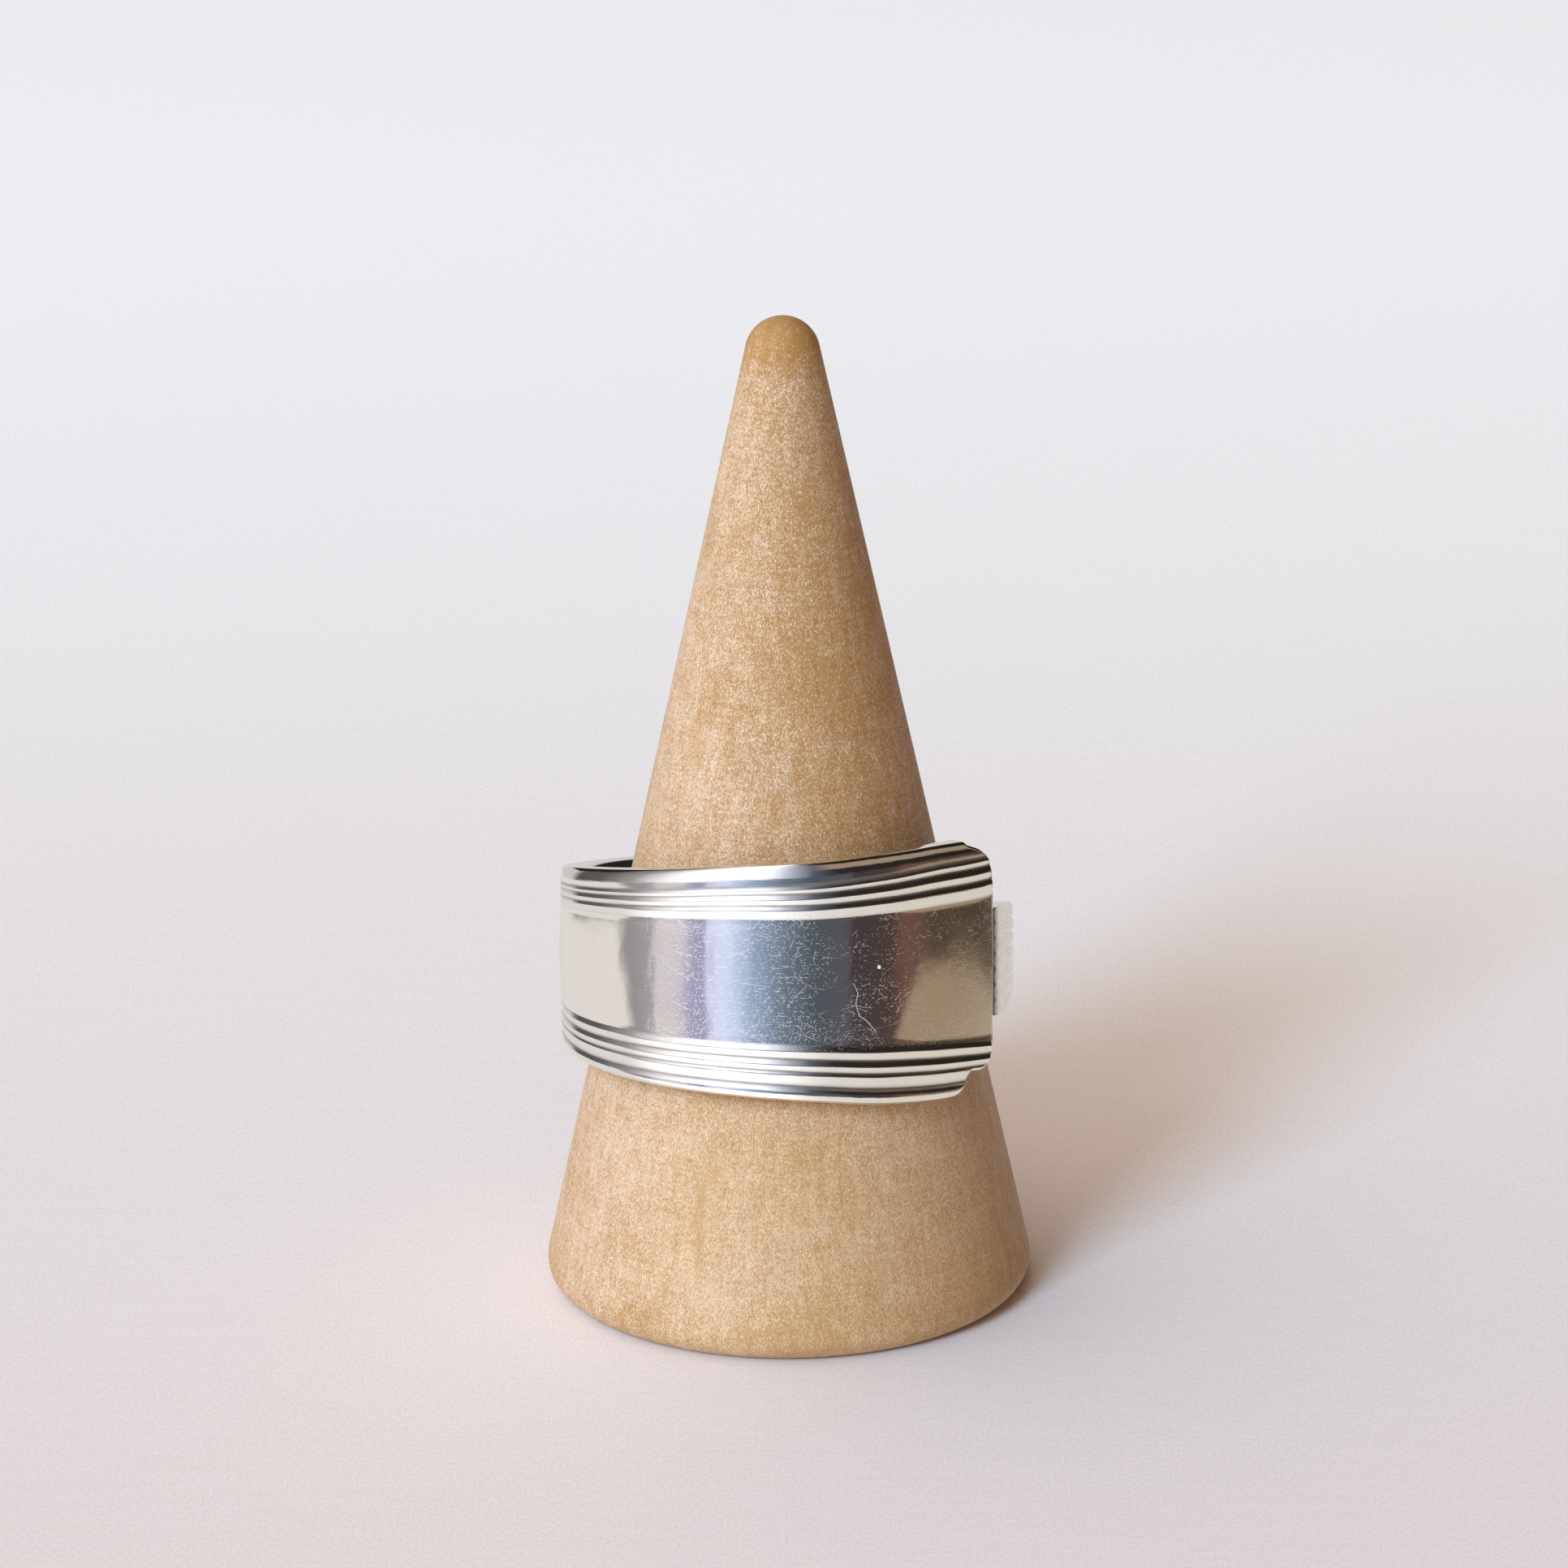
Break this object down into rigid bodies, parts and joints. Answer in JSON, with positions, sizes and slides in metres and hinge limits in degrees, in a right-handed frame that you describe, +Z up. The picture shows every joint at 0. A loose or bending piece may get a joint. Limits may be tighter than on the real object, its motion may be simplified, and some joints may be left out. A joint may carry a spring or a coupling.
{
  "type": "spoon ring on a wooden ring cone",
  "caption": "Ring bent from a tapered silver-plated spoon handle with reeded edges and a fluted shell tip, resting on a turned wooden display cone.",
  "frame": {"origin": "middle of the cone's flat base, on the surface that it stands on", "axes": "+Z up along the cone's axis, the ring's front faces -Y, the fluted tip of the handle is at +X"},
  "size_m": [0.0244, 0.0251, 0.05],
  "materials": {
    "silver_plate": "polished and worn, with fine scratches and a little tarnish in the grooves",
    "cone_wood": "fine sanded bare wood with small flecks"
  },
  "bodies": {
    "root": {"spoon_ring": "silver_plate", "ring_cone": "cone_wood"}
  },
  "joints": []
}
